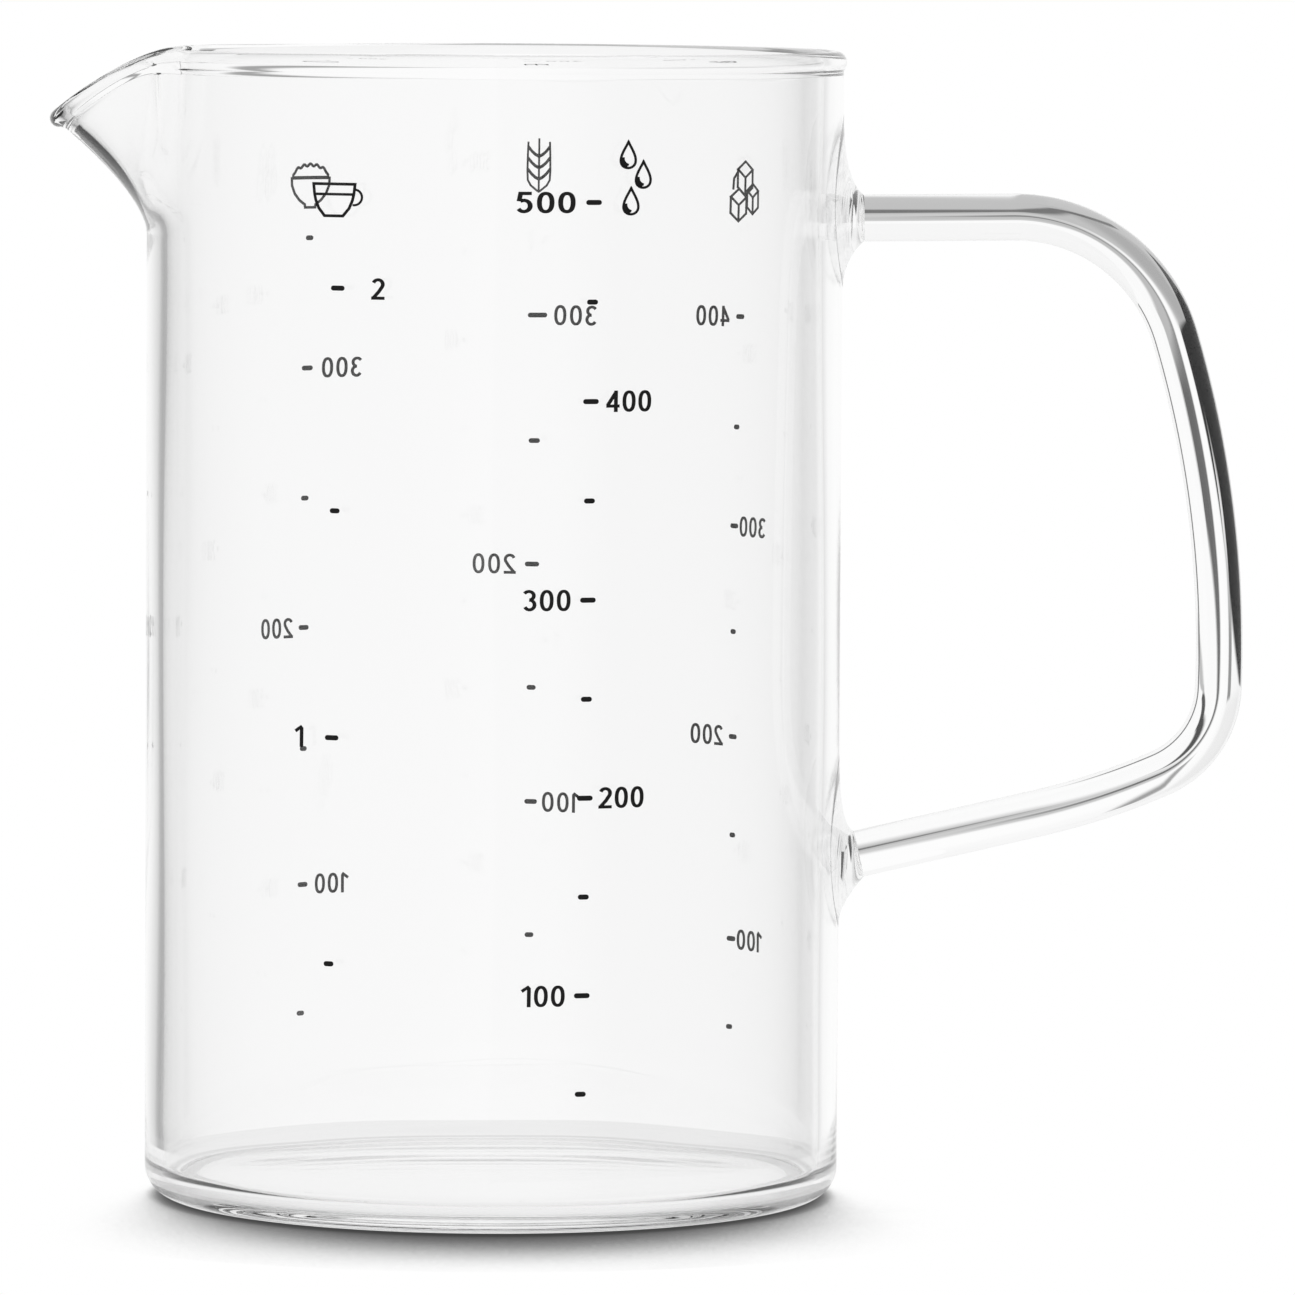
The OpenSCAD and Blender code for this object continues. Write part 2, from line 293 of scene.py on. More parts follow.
def rod_path():
    """Places and headings along the middle of the rod, from the upper weld to the lower one."""
    heading = math.radians(arm_rise)
    place = np.array([jug_r, upper_weld_z])
    along = np.array([math.cos(heading), math.sin(heading)])
    places = [(place + along * s, heading) for s in np.arange(weld_l, upper_arm_l, rod_step)]
    place = place + along * upper_arm_l
    for radius, turn in rod_bends:
        turn = math.radians(turn)
        middle = place + radius * np.array([math.sin(heading), -math.cos(heading)])
        count = max(4, round(radius * turn / rod_step))
        for s in ramp(0, turn, count):
            h = heading - s
            places.append((middle + radius * np.array([-math.sin(h), math.cos(h)]), h))
        heading -= turn
        place = middle + radius * np.array([-math.sin(heading), math.cos(heading)])
    along = np.array([math.cos(heading), math.sin(heading)])
    last_l = (jug_r - place[0]) / along[0]
    for s in np.linspace(0, last_l - weld_l, 20):
        places.append((place + along * s, heading))
    foot = place + along * last_l
    return places, foot, heading


def rod_ring(place, heading, angles, radius):
    """A ring square to the rod. Angle 0 points to the camera's far side, 90 degrees up."""
    across = np.array([-math.sin(heading), math.cos(heading)])
    x = place[0] + radius * np.sin(angles) * across[0]
    z = place[1] + radius * np.sin(angles) * across[1]
    return np.stack([x, radius * np.cos(angles), z], -1)


rod_glass = clear_glass("rod_glass", (90, 90, 90))
places, rod_foot, last_heading = rod_path()
rod_angles = np.linspace(0, 2 * np.pi, 64, endpoint=False)


def swept(name, rings, caps, material):
    """A closed skin over a row of rings of equal size, each end closed by a fan."""
    size = len(rings[0])
    points = [p for ring in rings for p in ring]
    faces = []
    for j in range(len(rings) - 1):
        for i in range(size):
            k = (i + 1) % size
            faces.append((j * size + i, j * size + k, (j + 1) * size + k, (j + 1) * size + i))
    for end, flip, hub_place in zip((0, len(rings) - 1), (False, True), caps):
        points.append(hub_place)
        hub = len(points) - 1
        for i in range(size):
            a, b = end * size + i, end * size + (i + 1) % size
            faces.append((hub, a, b) if flip else (hub, b, a))
    return make_mesh(name, points, faces, material)


def flat_3d(place):
    return np.array([place[0], 0, place[1]])


rod = swept("glass_handle", [rod_ring(p, h, rod_angles, rod_r) for p, h in places],
            (flat_3d(places[0][0]), flat_3d(places[-1][0])), rod_glass)
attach(rod, "root")
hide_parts("handle_rod")

# The welds: at each end of the rod a gather of soft glass spreads over the wall in a
# trumpet and pulls the wall a little with it, then narrows to the rod in a soft collar.
trumpet_power = 1.35
seam = 0.02 * MM
turn_power = 1.5
flare_r = 10 * MM
flare_lift = 2 * MM
weld_low, weld_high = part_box("lower_weld")
lower_weld_z = (weld_low.z + weld_high.z) / 2 - flare_lift


def foot_outline(weld_z):
    """The outline of a weld's foot on the wall, along it and up it."""
    angle = np.radians(np.linspace(-135, 225, 97)[:-1])
    return np.array([0, weld_z + flare_lift]) + flare_r * np.stack([np.cos(angle), np.sin(angle)], -1)


def trumpet(radius, outer):
    """How far along its way out the weld is at a radius: 0 on the foot's edge, 1 on the rod."""
    share = (radius - rod_r) / (outer - rod_r)
    return (rod_r / radius) ** trumpet_power * (1 - share ** 2) ** 2


def weld_rings(weld_z, heading, outline):
    """Rings from the foot's outline on the wall to the end of the rod."""
    along = np.array([math.cos(heading), math.sin(heading)])
    across = np.array([-math.sin(heading), math.cos(heading)])
    offset = outline - np.array([0, weld_z])
    outer = np.hypot(offset[:, 0], offset[:, 1])
    way = offset / outer[:, None]
    rings = []
    for share in np.linspace(0, 1, 36):
        radius = outer + (rod_r - outer) * share
        away = trumpet(radius, outer)
        lift = seam + (weld_l - 2 * seam) * away
        y, up = way[:, 0] * radius, way[:, 1] * radius
        turn = 180 + np.degrees(y / jug_r)
        on_wall = in_space(turn, jug_r + outer_wave(turn, weld_z + up), weld_z + up)
        on_wall[:, 0] += lift
        on_rod = np.stack([jug_r + along[0] * lift + across[0] * up, y,
                           weld_z + along[1] * lift + across[1] * up], -1)
        rings.append(on_wall + (on_rod - on_wall) * (away ** turn_power)[:, None])
    return rings


def build_weld(name, weld_z, heading, outline):
    rings = weld_rings(weld_z, heading, outline)
    reach = weld_l - seam
    end = np.array([jug_r + math.cos(heading) * reach, 0, weld_z + math.sin(heading) * reach])
    # The face on the wall follows it, ring by ring
    middle = np.array([0, weld_z + flare_lift])
    under = []
    for share in np.linspace(0.08, 0.92, 11):
        ring = middle + (outline - middle) * share
        turn = 180 + np.degrees(ring[:, 0] / jug_r)
        under.append(in_space(turn, jug_r + outer_wave(turn, ring[:, 1]), ring[:, 1]))
    hub = in_space(180, jug_r + outer_wave(180, middle[1]), middle[1])
    for ring in under + [hub[None, :]]:
        ring[:, 0] += seam
    return swept(name, under + rings, (hub, end), rod_glass)


for name, node, weld_z, foot_z, heading in (
        ("lower_glass_weld", "lower_weld", rod_foot[1], lower_weld_z, last_heading + math.pi),
        ("upper_glass_weld", "upper_weld", upper_weld_z, upper_weld_z, math.radians(arm_rise))):
    weld = build_weld(name, weld_z, heading, foot_outline(foot_z))
    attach(weld, "root")
    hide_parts(node)

# The prints: black ceramic enamel, screened onto the outside of the tube and fired. Each
# scale is one print of marks with round ends, plain figures and small pictures above.
enamel_t = 0.08 * MM
print_lean = math.tan(math.radians(0.6))
mark_h = 0.57 * MM


def black_enamel():
    """Fired enamel: nearly black, softly glossy, with a fine grain from the screen."""
    material, nodes, links, shader = node_material("fired_enamel")
    place = nodes.new("ShaderNodeTexCoord")
    grain = nodes.new("ShaderNodeTexNoise")
    grain.inputs["Scale"].default_value = 9000
    grain.inputs["Detail"].default_value = 2
    tone = nodes.new("ShaderNodeValToRGB")
    tone.color_ramp.elements[0].color = (0.006, 0.006, 0.006, 1)
    tone.color_ramp.elements[1].color = (0.016, 0.016, 0.016, 1)
    shader.inputs["Specular IOR Level"].default_value = 0.12
    rough = nodes.new("ShaderNodeMapRange")
    rough.inputs["To Min"].default_value = 0.38
    rough.inputs["To Max"].default_value = 0.55
    bump = nodes.new("ShaderNodeBump")
    bump.inputs["Strength"].default_value = 0.3
    bump.inputs["Distance"].default_value = 0.004 * MM
    links.new(place.outputs["Object"], grain.inputs["Vector"])
    links.new(grain.outputs["Fac"], tone.inputs["Fac"])
    links.new(tone.outputs["Color"], shader.inputs["Base Color"])
    links.new(grain.outputs["Fac"], rough.inputs["Value"])
    links.new(rough.outputs["Result"], shader.inputs["Roughness"])
    links.new(grain.outputs["Fac"], bump.inputs["Height"])
    links.new(bump.outputs["Normal"], shader.inputs["Normal"])
    return material


enamel = black_enamel()


def arc(middle, reach, first, last):
    """Places along an ellipse, between two angles in degrees."""
    return [(middle[0] + reach[0] * math.cos(math.radians(a)),
             middle[1] + reach[1] * math.sin(math.radians(a))) for a in np.linspace(first, last, 14)]


class Print:
    """A flat drawing, in metres along and up the wall, that is wrapped round the tube."""

    def __init__(self):
        self.points, self.faces = [], []

    def bar(self, start, end, width):
        """A stroke with round ends."""
        start, end = np.array(start, float), np.array(end, float)
        way = math.atan2(end[1] - start[1], end[0] - start[0])
        first = len(self.points)
        for place, from_a in ((end, way - math.pi / 2), (start, way + math.pi / 2)):
            for a in np.linspace(from_a, from_a + math.pi, 9):
                self.points.append(tuple(place + width / 2 * np.array([math.cos(a), math.sin(a)])))
        self.faces.append(tuple(range(first, first + 18)))

    def line(self, places, upright, level=None, closed=False):
        """A drawn line. Its width is upright where it runs upright, and level where it runs level."""
        level = upright if level is None else level
        places = [np.array(p, float) for p in places]
        count = len(places)
        first = len(self.points)
        for i, p in enumerate(places):
            ways = []
            if i or closed:
                ways.append(p - places[i - 1])
            if i + 1 < count or closed:
                ways.append(places[(i + 1) % count] - p)
            ways = [w / np.hypot(*w) for w in ways]
            way = sum(ways) / np.hypot(*sum(ways))
            stretch = 1 / max(0.6, float(np.dot(way, ways[0])))
            out = np.array([-way[1] * upright, way[0] * level]) / 2 * stretch
            self.points += [tuple(p + out), tuple(p - out)]
        for i in range(count if closed else count - 1):
            a, b = first + 2 * i, first + 2 * ((i + 1) % count)
            self.faces.append((a, a + 1, b + 1, b))

    def figure(self, figure, left, middle, size, upright, level):
        """One plain figure of a size (its width and height), drawn with strokes of two widths."""
        wide, high = size
        x0, x1 = left + upright / 2, left + wide - upright / 2
        y0, y1 = middle - high / 2 + level / 2, middle + high / 2 - level / 2
        mid_x, half_w, half_h = (x0 + x1) / 2, (x1 - x0) / 2, (y1 - y0) / 2
        strokes, closed = [], False
        if figure == "0":
            closed = True
            angles = np.radians(np.linspace(0, 360, 36, endpoint=False))
            strokes = [[(mid_x + half_w * math.copysign(abs(math.cos(a)) ** 0.86, math.cos(a)),
                         middle + half_h * math.copysign(abs(math.sin(a)) ** 0.86, math.sin(a)))
                        for a in angles]]
        elif figure == "1":
            foot = (x1, middle - high / 2)
            strokes = [[(left, y1 - 0.19 * high), (x1 - upright * 0.3, y1), (x1, y1 - 0.06 * high), foot]]
        elif figure == "2":
            bow = arc((mid_x, y1 - 0.5 * half_h), (half_w, 0.5 * half_h), 160, -35)
            strokes = [bow + [(mid_x + 0.2 * half_w, middle - 0.28 * half_h), (x0, y0)],
                       [(left, y0), (left + wide, y0)]]
        elif figure == "3":
            strokes = [arc((mid_x - 0.06 * wide, y1 - 0.47 * half_h), (half_w, 0.47 * half_h), 150, -80),
                       arc((mid_x, y0 + 0.53 * half_h), (half_w, 0.53 * half_h), 95, -155)]
        elif figure == "4":
            stem = left + 0.72 * wide
            strokes = [[(stem, middle + high / 2), (stem, middle - high / 2)],
                       [(stem, y1), (left + 0.3 * upright, middle - 0.2 * high)],
                       [(left, middle - 0.22 * high), (left + wide, middle - 0.22 * high)]]
        elif figure == "5":
            bowl = arc((mid_x - 0.02 * wide, y0 + 0.62 * half_h), (half_w, 0.62 * half_h), 125, -150)
            strokes = [[(x1 + 0.2 * upright, y1), (x0 + 0.14 * wide, y1), (x0 + 0.06 * wide, bowl[0][1])],
                       bowl]
        for stroke in strokes:
            self.line(stroke, upright, level, closed)

    def number(self, text, centre, middle, style):
        """A row of figures round its centre."""
        wide, high, upright, level, gap = style
        widths = [wide * (0.66 if f == "1" else 1) for f in text]
        left = centre - (sum(widths) + gap * (len(text) - 1)) / 2
        for figure, own in zip(text, widths):
            self.figure(figure, left, middle, (own, high), upright, level)
            left += own + gap

    def marks(self, heights, narrow, wide):
        """Marks with round ends. Every second one carries a number and is wider."""
        for k, height in enumerate(heights):
            half = ((wide if k % 2 else narrow) - mark_h) / 2
            self.bar((-half, height), (half, height), mark_h)

    def wrap(self, name, node, front_turn):
        """Wraps the drawing round the tube, front_turn degrees from the front, as thin enamel."""
        flat = np.array(self.points)
        count = len(flat)
        lean = (flat[:, 1] - jug_h / 2) * print_lean / math.cos(math.radians(front_turn))
        angle = np.radians(front_turn - 90) + (flat[:, 0] + lean) / jug_r
        layers = []
        for radius in (jug_r - 0.02 * MM, jug_r + enamel_t):
            layers.append(np.stack([radius * np.cos(angle), radius * np.sin(angle), flat[:, 1]], -1))
        faces = [tuple(reversed(f)) for f in self.faces]
        faces += [tuple(i + count for i in f) for f in self.faces]
        edges = {}
        for face in self.faces:
            for a, b in zip(face, face[1:] + face[:1]):
                edges[(a, b)] = edges.get((a, b), 0) + 1
        for a, b in edges:
            if (b, a) not in edges:
                faces.append((a, b, b + count, a + count))
        piece = make_mesh(name, np.concatenate(layers), faces, enamel)
        for face in piece.data.polygons:
            face.use_smooth = False
        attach(piece, "root")
        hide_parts(node)


def even_heights(node, count):
    """Mark heights of an even scale, read from the frame: its lowest and its highest mark."""
    low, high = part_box(node)
    half = 0.21 * MM
    return np.linspace(low.z + half, high.z - half, count)


# Width, height, upright and level stroke and gap of the figures
bold_figures = (1.97 * MM, 2.4 * MM, 0.56 * MM, 0.38 * MM, 0.42 * MM)
front_figures = (1.56 * MM, 2.4 * MM, 0.43 * MM, 0.35 * MM, 0.36 * MM)
back_figures = (1.5 * MM, 2.4 * MM, 0.38 * MM, 0.34 * MM, 0.46 * MM)
thin_line = 0.28 * MM

ml_heights = even_heights("ml_scale", 10)
ml_print = Print()
ml_print.marks(ml_heights, 1.26 * MM, 1.8 * MM)
ml_print.number("500", -5.5 * MM, ml_heights[9], bold_figures)
for k, text, centre in ((7, "400", 4.5), (5, "300", -4.7), (3, "200", 4.3), (1, "100", -4.4)):
    ml_print.number(text, centre * MM, ml_heights[k], front_figures)
# Three drops, each with a dark patch low on its left
drop_w, drop_h = 1.95 * MM, 2.95 * MM
for x, z in ((3.96, 121.0), (5.82, 118.8), (4.36, 115.85)):
    shape = [(x * MM + drop_w * 0.66 * math.sin(t) * math.sin(t / 2) ** 1.5,
              z * MM + drop_h / 2 * math.cos(t)) for t in np.linspace(0, 2 * math.pi, 33)[:-1]]
    ml_print.line(shape, thin_line, closed=True)
    for inward, width in ((0.12, 0.4), (0.3, 0.3)):
        ml_print.line([(px + inward * MM, pz + inward * MM) for px, pz in shape[17:23]], width * MM)
ml_print.wrap("millilitre_print", "ml_scale", 15.2)

# The small marks of the cup scale sit a little outside their even places
cup_heights = even_heights("cup_scale", 4) + np.array([-0.27, 0, 0.28, 0]) * MM
cup_print = Print()
cup_print.marks(cup_heights, 1.2 * MM, 1.67 * MM)
cup_print.number("2", 4.87 * MM, cup_heights[3], front_figures)
cup_print.number("1", -4.2 * MM, cup_heights[1], front_figures)
# A cup with a band under its rim and a round handle
cup_x, cup_z = -0.64 * MM, 115.75 * MM
cup_side = [(2.6, 1.8), (2.46, 0.66), (2.3, 0.0), (1.9, -0.9), (1.15, -1.75)]
cup_shape = cup_side + [(-x, z) for x, z in reversed(cup_side)]
cup_print.line([(cup_x + x * MM, cup_z + z * MM) for x, z in cup_shape], 0.33 * MM, closed=True)
cup_print.line([(cup_x + x * MM, cup_z + 0.66 * MM) for x in (-2.46, 2.46)], 0.3 * MM)
cup_print.line(arc((cup_x + 2.5 * MM, cup_z + 0.35 * MM), (0.95 * MM, 0.88 * MM), 85, -100), 0.26 * MM)
cup_print.wrap("cup_print", "cup_scale", -26.6)

# The rice scale is even but for one mark
rice_heights = even_heights("rice_scale", 7)
rice_heights[2] += 0.9 * MM
rice_print = Print()
rice_print.marks(rice_heights, 1.05 * MM, 1.5 * MM)
for k, text, centre in ((5, "300", -4.77), (3, "200", 4.4), (1, "100", -4.4)):
    rice_print.number(text, centre * MM, rice_heights[k], back_figures)
# A bowl on a low foot, with a heap in it
bowl_z = 115.12 * MM
heap = [(x, 1 + 1.5 * math.sqrt(1 - (x / 2.72) ** 2) + 0.14 * math.cos(x * 6.5))
        for x in np.linspace(-2.7, 2.7, 45)]
bowl_side = [(2.85, 0.95), (2.8, 0.1), (2.35, -0.85), (1.6, -1.65), (0.8, -2.15), (0.75, -2.5)]
bowl_shape = bowl_side + [(-x, z) for x, z in reversed(bowl_side)]
bowl_rim = [(-2.8, 1.05), (2.8, 1.05)]
for shape, closed in ((heap, False), (bowl_shape, True), (bowl_rim, False)):
    rice_print.line([(x * MM, bowl_z + z * MM) for x, z in shape], 0.32 * MM, closed=closed)
rice_print.wrap("rice_print", "rice_scale", 215.5)

# The flour and the sugar scale aren't even, so their marks are given one by one
flour_heights = [z * MM for z in (26, 41.95, 55.6, 70.3, 84.95, 99.8)]
flour_print = Print()
for height, wide in zip(flour_heights, (1.1, 1.6, 1.15, 1.75, 1.35, 2.35)):
    half = (wide * MM - mark_h) / 2
    flour_print.bar((-half, height), (half, height), mark_h)
for k, text, centre in ((5, "300", -4.75), (3, "200", 4.7), (1, "100", -3.9)):
    flour_print.number(text, centre * MM, flour_heights[k], back_figures)
# An ear of corn: a stem between two beards, joined by bent grains
ear_x, ear_z = 0.2 * MM, 117.5 * MM
flour_print.line([(ear_x, ear_z - 3.2 * MM), (ear_x, ear_z + 3.25 * MM)], 0.24 * MM)
for side in (-1, 1):
    beard = [(1.36, 2.85), (1.42, 1.2), (1.44, -0.6), (1.38, -1.7), (1.0, -2.35), (0.1, -3.05)]
    flour_print.line([(ear_x + side * x * MM, ear_z + z * MM) for x, z in beard], 0.25 * MM)
    for low in (1.1, -0.25, -1.6):
        grain = [(0, low), (0.45, low + 0.22), (0.9, low + 0.6), (1.4, low + 1.2)]
        flour_print.line([(ear_x + side * x * MM, ear_z + z * MM) for x, z in grain], 0.3 * MM, 0.4 * MM)
flour_print.wrap("flour_print", "flour_scale", 173.1)

sugar_heights = [z * MM for z in (16.5, 26.9, 39.15, 50.8, 63.25, 75.75, 87.4, 100.35)]
sugar_print = Print()
sugar_print.marks(sugar_heights, 0.98 * MM, 1.45 * MM)
for k, text, centre in ((7, "400", 4.7), (5, "300", -3.8), (3, "200", 4.6), (1, "100", -3.5)):
    sugar_print.number(text, centre * MM, sugar_heights[k], back_figures)
# Three cubes in a pile: their tops, their sides, and the upright edge at the front of each
cube_line = (0.33 * MM, 0.26 * MM)
for x, z, half, slope, tall in ((-0.3, 117.6, 1.45, 0.95, 2.1), (0.9, 114.35, 1.45, 0.95, 1.9),
                                (-1.85, 115.15, 1.15, 0.8, 1.95)):
    x, z, half, slope, tall = (v * MM for v in (x, z, half, slope, tall))
    top = [(x, z + slope), (x + half, z), (x, z - slope), (x - half, z)]
    sugar_print.line(top, *cube_line, closed=True)
    sugar_print.line([(x - half, z), (x - half, z - tall), (x, z - slope - tall), (x + half, z - tall),
                      (x + half, z)], *cube_line)
    sugar_print.line([(x, z - slope), (x, z - slope - tall)], *cube_line)
back_cube = [(1.15, 117.3), (1.85, 116.5), (1.95, 115.2)]
sugar_print.line([(x * MM, z * MM) for x, z in back_cube], *cube_line)
sugar_print.wrap("sugar_print", "sugar_scale", 131.6)

# The table: a small round stand with a pale matt top. The camera sees it white but for a painted
# shadow close round the jug, an emission tone taken from ambient occlusion, and through the glass
# it shows one painted dark ring of shade under the edge of the base.
table_r, table_y = 62.5 * MM, -6.5 * MM
shadow_reach = 60 * MM
glass_sees = 0.88


def grey_ramp(node, stops):
    """Sets a colour ramp's stops, each a place from 0 to 1 and its grey tone."""
    elements = node.color_ramp.elements
    while len(elements) < len(stops):
        elements.new(0.5)
    for element, (at, grey) in zip(elements, stops):
        element.position = at
        element.color = (grey, grey, grey, 1)


def painted_heel_shadow(nodes, links):
    """The tone that the glass shows: plain, with a painted dark ring of shadow under the heel that fades
    out at the back.
    """
    place = nodes.new("ShaderNodeTexCoord")
    flat = nodes.new("ShaderNodeVectorMath")
    flat.operation = "MULTIPLY"
    flat.inputs[1].default_value = (1 / table_r, 1 / table_r, 0)
    from_middle = nodes.new("ShaderNodeVectorMath")
    from_middle.operation = "LENGTH"
    ring = nodes.new("ShaderNodeValToRGB")
    # Painted shadow: a dark ring where the heel stands on the table
    grey_ramp(ring, [(0, glass_sees), (0.612, glass_sees), (0.622, 0.04), (0.645, 0.04),
                     (0.655, glass_sees), (1, glass_sees)])
    depth = nodes.new("ShaderNodeSeparateXYZ")
    rear = nodes.new("ShaderNodeMapRange")
    rear.inputs["From Min"].default_value = -12 * MM
    rear.inputs["From Max"].default_value = 12 * MM
    rear.inputs["To Max"].default_value = 0.8
    paler = nodes.new("ShaderNodeMix")
    paler.data_type = "RGBA"
    paler.inputs["B"].default_value = (glass_sees, glass_sees, glass_sees, 1)
    links.new(place.outputs["Object"], flat.inputs[0])
    links.new(flat.outputs[0], from_middle.inputs[0])
    links.new(from_middle.outputs["Value"], ring.inputs["Fac"])
    links.new(place.outputs["Object"], depth.inputs[0])
    links.new(depth.outputs["Y"], rear.inputs["Value"])
    links.new(rear.outputs["Result"], paler.inputs["Factor"])
    links.new(ring.outputs["Color"], paler.inputs["A"])
    return paler.outputs["Result"]


def table_top():
    """Pale and matt where it catches light; the camera sees a painted shadow, and the glass plain tones
    with a painted dark ring.
    """
    material, nodes, links, shader = node_material("pale_table")
    shader.inputs["Base Color"].default_value = (0.86, 0.86, 0.86, 1)
    shader.inputs["Roughness"].default_value = 0.6
    shader.inputs["Specular IOR Level"].default_value = 0.2
    near = nodes.new("ShaderNodeAmbientOcclusion")
    near.samples = 24
    near.inputs["Distance"].default_value = shadow_reach
    # The painted shadow leans to the front: the occlusion is taken about a normal tilted to the back
    occlusion_lean = nodes.new("ShaderNodeCombineXYZ")
    occlusion_lean.inputs["Y"].default_value = math.sin(math.radians(60))
    occlusion_lean.inputs["Z"].default_value = math.cos(math.radians(60))
    # Painted shadow: grey tones from the occlusion, near black at the heel and white further out
    tone = nodes.new("ShaderNodeValToRGB")
    grey_ramp(tone, [(0, 0.02), (0.2, 0.04), (0.32, 0.08), (0.43, 0.17), (0.49, 0.25), (0.53, 0.36),
                     (0.6, 0.7), (0.625, 0.83), (0.65, 0.95), (0.67, 1), (1, 1)])
    painted_shadow = nodes.new("ShaderNodeEmission")
    behind_glass = nodes.new("ShaderNodeEmission")
    rays = nodes.new("ShaderNodeLightPath")
    bent = nodes.new("ShaderNodeMath")
    bent.operation = "MAXIMUM"
    first = nodes.new("ShaderNodeMixShader")
    second = nodes.new("ShaderNodeMixShader")
    links.new(occlusion_lean.outputs[0], near.inputs["Normal"])
    links.new(near.outputs["AO"], tone.inputs["Fac"])
    links.new(tone.outputs["Color"], painted_shadow.inputs["Color"])
    links.new(painted_heel_shadow(nodes, links), behind_glass.inputs["Color"])
    links.new(rays.outputs["Is Transmission Ray"], bent.inputs[0])
    links.new(rays.outputs["Is Glossy Ray"], bent.inputs[1])
    links.new(rays.outputs["Is Camera Ray"], first.inputs[0])
    links.new(shader.outputs[0], first.inputs[1])
    links.new(painted_shadow.outputs[0], first.inputs[2])
    links.new(bent.outputs[0], second.inputs[0])
    links.new(first.outputs[0], second.inputs[1])
    links.new(behind_glass.outputs[0], second.inputs[2])
    links.new(second.outputs[0], nodes["Material Output"].inputs["Surface"])
    return material


edge = [(table_r * math.cos(a), table_y + table_r * math.sin(a), 0)
        for a in np.linspace(0, 2 * np.pi, 129)[1:]]
table = make_mesh("table", edge, [tuple(range(len(edge)))], table_top())

# The rim's card: white card cut to an arc, laid flat behind the rim and edge-on to the
# camera, which doesn't see it. The glass of the bead picks up its light.
card_near, card_far, card_z, card_slope = 42.5 * MM, 130 * MM, 128.7 * MM, -0.02


def white_card():
    material = bpy.data.materials.new("white_card")
    material.use_nodes = True
    nodes, links = material.node_tree.nodes, material.node_tree.links
    nodes.clear()
    light = nodes.new("ShaderNodeEmission")
    light.inputs["Strength"].default_value = 0.95
    out = nodes.new("ShaderNodeOutputMaterial")
    links.new(light.outputs[0], out.inputs["Surface"])
    return material


card_places = []
for angle in np.radians(np.linspace(-5, 142, 48)):
    for radius in (card_near, card_far):
        y = radius * math.sin(angle)
        card_places.append((radius * math.cos(angle), y, card_z + card_slope * (y - card_near)))
card_faces = [(i, i + 1, i + 3, i + 2) for i in range(0, len(card_places) - 2, 2)]
rim_card = make_mesh("rim_card", card_places, card_faces, white_card())
rim_card.visible_camera = False

# The studio: a white room. Glass bends its light towards the sides of the room, where dark
# stands draw its edges: softly in the thin walls of the tube, and at full depth in the solid
# glass of the rod, the bead and the heel.
world = bpy.data.worlds.new("studio")
bpy.context.scene.world = world
world.use_nodes = True
nodes, links = world.node_tree.nodes, world.node_tree.links
nodes.clear()


def math_node(operation, first, second=0.0):
    """A math node in the studio's tree, fed by sockets or plain numbers."""
    node = nodes.new("ShaderNodeMath")
    node.operation = operation
    for socket, value in zip(node.inputs, (first, second)):
        if isinstance(value, (int, float)):
            socket.default_value = value
        else:
            links.new(value, socket)
    return node.outputs[0]


def tone_curve(angle, low, high, stops):
    """Grey tones along an angle in degrees, straight from stop to stop."""
    ramp_node = nodes.new("ShaderNodeValToRGB")
    share = nodes.new("ShaderNodeMapRange")
    share.inputs["From Min"].default_value = low
    share.inputs["From Max"].default_value = high
    links.new(angle, share.inputs["Value"])
    links.new(share.outputs["Result"], ramp_node.inputs["Fac"])
    grey_ramp(ramp_node, [((at - low) / (high - low), grey) for at, grey in stops])
    return ramp_node.outputs["Color"]


def blend_tones(share, first, second):
    """The first tone where share is 0, and the second where it is 1."""
    node = nodes.new("ShaderNodeMix")
    node.data_type = "RGBA"
    for socket, value in zip((node.inputs[0], node.inputs[6], node.inputs[7]), (share, first, second)):
        if isinstance(value, tuple):
            socket.default_value = value
        else:
            links.new(value, socket)
    return node.outputs[2]


where = nodes.new("ShaderNodeTexCoord")
split = nodes.new("ShaderNodeSeparateXYZ")
links.new(where.outputs["Generated"], split.inputs[0])
side = math_node("ARCTAN2", split.outputs["X"], split.outputs["Y"])
side = math_node("MULTIPLY", side, math.degrees(1))
rise = math_node("MULTIPLY", math_node("ARCSINE", split.outputs["Z"]), math.degrees(1))
direction = nodes.new("ShaderNodeCombineXYZ")
links.new(side, direction.inputs["X"])
links.new(rise, direction.inputs["Y"])


def fade(value, edge, soft):
    """1 below the edge and 0 above it."""
    node = nodes.new("ShaderNodeMapRange")
    node.interpolation_type = "SMOOTHSTEP"
    node.inputs["From Min"].default_value = edge - soft
    node.inputs["From Max"].default_value = edge + soft
    node.inputs["To Min"].default_value = 1.0
    node.inputs["To Max"].default_value = 0.0
    links.new(value, node.inputs["Value"])
    return node.outputs[0]


def beyond(along_side, along_rise, edge, soft):
    """1 on the low side of a slanting edge in the room."""
    place = nodes.new("ShaderNodeVectorMath")
    place.operation = "DOT_PRODUCT"
    links.new(direction.outputs[0], place.inputs[0])
    place.inputs[1].default_value = (along_side, along_rise, 0)
    return fade(place.outputs["Value"], edge, soft)


def card(centre, half, turn, soft):
    """A card that stands in the room: its middle, half its width and height and its turn, in degrees."""
    own = nodes.new("ShaderNodeMapping")
    own.vector_type = "TEXTURE"
    own.inputs["Location"].default_value = (*centre, 0)
    own.inputs["Rotation"].default_value = (0, 0, math.radians(turn))
    size = nodes.new("ShaderNodeVectorMath")
    size.operation = "ABSOLUTE"
    sides = nodes.new("ShaderNodeSeparateXYZ")
    links.new(direction.outputs[0], own.inputs["Vector"])
    links.new(own.outputs[0], size.inputs[0])
    links.new(size.outputs[0], sides.inputs[0])
    across, upwards = fade(sides.outputs["X"], half[0], soft), fade(sides.outputs["Y"], half[1], soft)
    return math_node("MULTIPLY", across, upwards)


